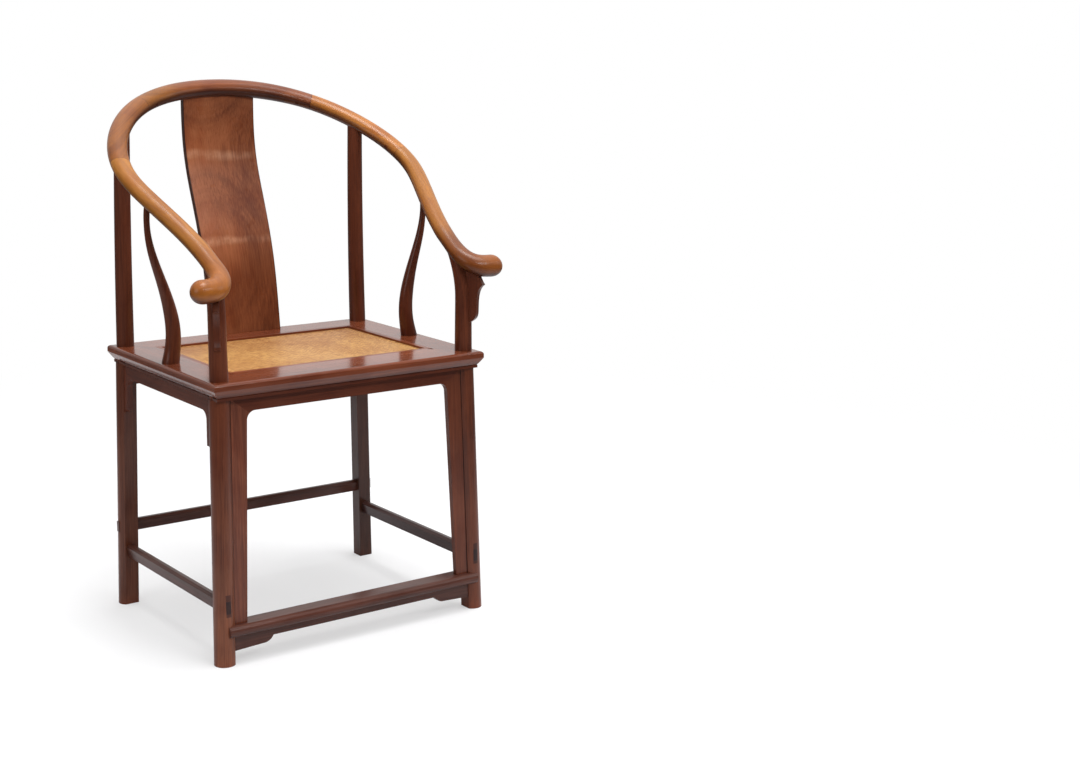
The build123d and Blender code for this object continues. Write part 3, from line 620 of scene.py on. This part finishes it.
def grid_mesh(name, points):
    """Mesh of quads on a grid of points, an array of rows x columns x 3."""
    rows, columns = points.shape[:2]
    index = np.arange(rows * columns).reshape(rows, columns)
    quads = np.stack(
        [index[:-1, :-1], index[:-1, 1:], index[1:, 1:], index[1:, :-1]], axis=-1
    ).reshape(-1, 4)
    mesh = bpy.data.meshes.new(name)
    mesh.from_pydata(points.reshape(-1, 3).tolist(), [], quads.tolist())
    mesh.shade_smooth()
    piece = bpy.data.objects.new(name, mesh)
    bpy.context.collection.objects.link(piece)
    return piece


def thicken(piece, thickness):
    """Gives a sheet its thickness, on the side away from where its faces point."""
    solid = piece.modifiers.new("thickness", "SOLIDIFY")
    solid.thickness = thickness
    solid.offset = -1.0


mat_low, mat_high = (np.array(corner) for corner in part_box("cane_mat"))
mat_size = mat_high - mat_low
mat_sag = 0.006
mat_held = 0.012  # width of the edge that lies flat under the strips
mat_clear = 0.0002  # how far the cane lies under the top of the CAD mat
mat_thick = 0.0016
# The sag is full this far in from left and right, and this far from front and rear.
ease_wide, ease_deep = 0.19, 0.13


def sunk_seat(u, v, size, held):
    """How far a seat of this size has sunk at u, v: mat_sag times 1 - (1 - e)^2 for each way
    across, where e goes from 0 at the edge that is held to 1 at ease_wide or ease_deep."""
    sunk = mat_sag
    for share, length, ease in ((u, size[0], ease_wide), (v, size[1], ease_deep)):
        inward = np.clip(np.minimum(share, 1 - share) * length - held, 0, None) / ease
        sunk = sunk * (1 - (1 - np.clip(inward, 0, 1)) ** 2)
    return sunk


# A flat sheet over the mat's whole box, lowered by the sag.
u, v = unit_grid(121, 91)
mat_x = mat_low[0] + u * mat_size[0]
mat_y = mat_low[1] + v * mat_size[1]
mat_z = mat_high[2] - mat_clear - sunk_seat(u, v, mat_size, mat_held)
cane = grid_mesh("cane_weave", np.stack([mat_x, mat_y, mat_z], axis=-1))
thicken(cane, mat_thick)

strand = 0.0024  # width of one strand of cane
strands_away = 400.0  # added to every count of strands, so that none is negative
strands_a_turn = 12.0  # how many strands the herringbone runs before it turns round
cane_pale = srgb(226, 178, 108)
cane_deep = srgb(176, 118, 56)
cane_rear_shade_tint = (0.80, 0.74, 0.76)  # the rear of the seat is darker: painted shade
# Painted shade in the gaps between the strands.
cane_gap_shade_tint = (0.42, 0.27, 0.14)


def cane_material():
    """Herringbone twill: each strand passes over two and under two, and the step turns round every
    twelve strands; light and dark strands, and painted shade between them."""
    material, shader, place = new_material("split_cane")
    across = place.dot((1 / strand, 0, 0)) + strands_away
    down = place.dot((0, 1 / strand, 0)) + strands_away
    column = across.floor()
    row = down.floor()
    block = (column / strands_a_turn).floor()
    turn = block.math("MODULO", block, 2.0) * 2.0 - 1.0
    step = row + column * turn
    phase = step.math("FLOORED_MODULO", step, 4.0)
    over = phase.math("LESS_THAN", phase, 2.0)
    rib_x = across.fract() - 0.5
    rib_y = down.fract() - 0.5
    round_x = 1.0 - rib_x * rib_x * 4.0
    round_y = 1.0 - rib_y * rib_y * 4.0
    height = over * round_x * (0.6 + 0.4 * round_y) + (1.0 - over) * round_y * (0.6 + 0.4 * round_x)
    strands = vector(column * 0.73, 0.0, over).noise(3.1, 1.0)
    cross = vector(0.0, row * 0.73, over).noise(3.1, 1.0)
    tone = over * strands + (1.0 - over) * cross
    patches = place.noise(120.0, 4.0, 0.7)
    worn = place.noise(9.0, 2.0)
    share = tone + patches * 1.6 + worn * 0.7 + over * 0.12 - 1.27
    colour = share.between(0.1, 0.8).tint(cane_deep, cane_pale)
    # Painted shade over the rear of the seat.
    rear = place.dot(rearward).between(-0.04, 0.10)
    colour = rear.times(colour, cane_rear_shade_tint)
    gap_shade = height.between(0.30, 0.62)
    colour = (1.0 - gap_shade).times(colour, cane_gap_shade_tint)
    plug(
        shader,
        Base_Color=colour,
        Roughness=tone * 0.2 + 0.36,
        Normal=height.bump(0.55, 0.0006),
        Specular_IOR_Level=0.4,
    )
    return material


cane.data.materials.append(cane_material())
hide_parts("cane_mat")
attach(cane, "root")

# ------------------------------------------------------------------ palm fibre underlay
# Brown palm fibre twisted into cord and laced under the cane in two layers that cross at right
# angles. It carries the sitter's weight and has sunk with the cane.
pad_low, pad_high = (np.array(corner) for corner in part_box("palm_underlay"))
pad_size = pad_high - pad_low
pad_clear = 0.0006  # how far the cords start under the top of the CAD underlay
pad_thick = 0.0008
cord_pitch = 0.0082
cord_depth = 0.0020
cord_cross = 0.25  # share by which one cord hangs lower at a crossing, and the other less low

# Two sets of half-round ribs hang down, |sin| of x and |sin| of y; at each crossing one hangs
# lower and the other less low, by turns, and the lower of the two is the surface.
u, v = unit_grid(261, 181)
pad_x = pad_low[0] + u * pad_size[0]
pad_y = pad_low[1] + v * pad_size[1]
wave_x = np.sin(np.pi * pad_x / cord_pitch)
wave_y = np.sin(np.pi * pad_y / cord_pitch)
over = cord_cross * np.sign(wave_x * wave_y)
cords = np.maximum(np.abs(wave_x) * (1 + over), np.abs(wave_y) * (1 - over))
pad_z = pad_high[2] - pad_clear - sunk_seat(u, v, pad_size, 0.0) - cord_depth * cords
palm = grid_mesh("palm_weave", np.stack([pad_x, pad_y, pad_z], axis=-1)[::-1])
thicken(palm, pad_thick)

palm_pale = srgb(140, 104, 68)
palm_deep = srgb(78, 52, 32)
fibre_scale = 900.0
fibre_drawn = 0.15  # how much the fibres' noise is drawn out along each cord


def palm_material():
    """Brown fibres twisted into cord: fine noise drawn out along each direction."""
    material, shader, place = new_material("palm_cord")
    x, y, z = place.dot(rightward), place.dot(rearward), place.dot(upward)
    warp = vector(x, place.dot((0, fibre_drawn, 0)), z).noise(fibre_scale, 3.0)
    weft = vector(place.dot((fibre_drawn, 0, 0)), y, z).noise(fibre_scale, 3.0)
    strands = warp * 0.5 + weft * 0.5
    share = strands + place.noise(40.0, 2.0) * 0.5 - 0.25
    plug(
        shader,
        Base_Color=share.between(0.2, 0.8).tint(palm_deep, palm_pale),
        Roughness=strands * 0.2 + 0.65,
        Normal=strands.bump(0.5, 0.0006),
    )
    return material


palm.data.materials.append(palm_material())
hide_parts("palm_underlay")
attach(palm, "root")

# ------------------------------------------------------------------ room, light and camera
# A white ground that runs on as far as the eye sees, and a pale room. The light is soft and
# comes from above, with a strip in front and a large window on each side.
floor_half = 30.0
floor_edge = (-floor_half, floor_half)
floor = grid_mesh("floor", np.array([[[x, y, 0.0] for x in floor_edge] for y in floor_edge]))
floor_material, floor_shader, floor_place = new_material("floor_white")
ground = floor_material.node_tree
floor_seen = Expr(ground, ground.nodes.new("ShaderNodeLightPath").outputs["Is Camera Ray"])
floor_x, floor_y = floor_place.dot(rightward), floor_place.dot(rearward)
far = (floor_x * floor_x + floor_y * floor_y).root().between(1.0, 2.4)
bounced = far.tint((0.66, 0.66, 0.68), (0.10, 0.10, 0.10))  # its colour as it lights the chair
plug(
    floor_shader,
    Base_Color=floor_seen.tint(bounced, (0.86, 0.86, 0.87)),
    Roughness=0.9,
    Specular_IOR_Level=0.1,
)
lit = Expr(ground, floor_shader.outputs[0])
plain = lit.node("ShaderNodeEmission", {"Color": (1, 1, 1, 1), "Strength": 1.0})
white = floor_seen * (0.42 + far * 0.58)  # how far plain white takes the shaded floor's place
pale = lit.node("ShaderNodeMixShader", {0: white, 1: lit, 2: plain})
ground.links.new(pale.socket, ground.nodes["Material Output"].inputs["Surface"])
floor.data.materials.append(floor_material)

world = bpy.data.worlds.new("room")
bpy.context.scene.world = world
world.use_nodes = True
sky = world.node_tree
direction = Expr(sky, sky.nodes.new("ShaderNodeTexCoord").outputs["Generated"])
ceiling = direction.dot(upward).between(0.3, 1.0) * 0.85
rear_wall = direction.dot((0.62, 0.78, 0)).between(0.1, 0.8) * 0.75
sky_seen = Expr(sky, sky.nodes.new("ShaderNodeLightPath").outputs["Is Camera Ray"])
room_light = sky_seen + (1.0 - sky_seen) * (0.04 + ceiling + rear_wall)
plug(sky.nodes["Background"], Color=(1, 1, 1, 1), Strength=room_light)


def lamp(name, kind, place, target, power, **settings):
    """A lamp at a place, facing a target."""
    light = bpy.data.lights.new(name, kind)
    light.energy = power
    for key, value in settings.items():
        setattr(light, key, value)
    piece = bpy.data.objects.new(name, light)
    bpy.context.collection.objects.link(piece)
    aim = (Vector(target) - Vector(place)).to_track_quat("-Z", "Y")
    piece.matrix_world = Matrix.Translation(place) @ aim.to_matrix().to_4x4()


lamp("overhead", "SUN", (0.3, -0.4, 3), (0, 0, 0), 1.5, angle=math.radians(34))
lamp("strip", "AREA", (0.3, -2.3, 2.2), (0, 0, 0.8), 22, size=1.6, size_y=0.3, shape="RECTANGLE")
lamp("soft_box", "AREA", (0.2, -0.2, 3.0), (0, 0, 0.8), 14, size=0.8, shape="SQUARE")
lamp("left_window", "AREA", (-2.6, -0.6, 1.7), (0, 0, 0.5), 14, size=1.4, shape="SQUARE")
lamp("right_window", "AREA", (2.2, -1.6, 1.9), (0, 0, 0.5), 9, size=1.2, shape="SQUARE")

image_width = 1080
focal = 1677.06  # focal length in widths of one pixel of the image
framed_up = 83.8  # the frame sits this many pixels above the lens's axis
sensor_width = 36.0
eye = Vector((-1.5655, -2.8273, 1.1398))
heading = math.radians(37.747)  # from +Y towards +X
tilt = math.radians(-15.07)
roll = math.radians(0.913)
view = Vector(
    (math.sin(heading) * math.cos(tilt), math.cos(heading) * math.cos(tilt), math.sin(tilt))
)
level = view.cross(Vector(upward)).normalized()
upright = level.cross(view)
right = level * math.cos(roll) + upright * math.sin(roll)
above = upright * math.cos(roll) - level * math.sin(roll)
camera = bpy.data.objects.new("camera", bpy.data.cameras.new("camera"))
bpy.context.collection.objects.link(camera)
camera.data.sensor_width = sensor_width
camera.data.lens = sensor_width * focal / image_width
camera.data.shift_y = framed_up / image_width
camera.data.clip_end = 100.0
facing = Matrix((right, above, -view)).transposed().to_4x4()
camera.matrix_world = Matrix.Translation(eye) @ facing
bpy.context.scene.camera = camera
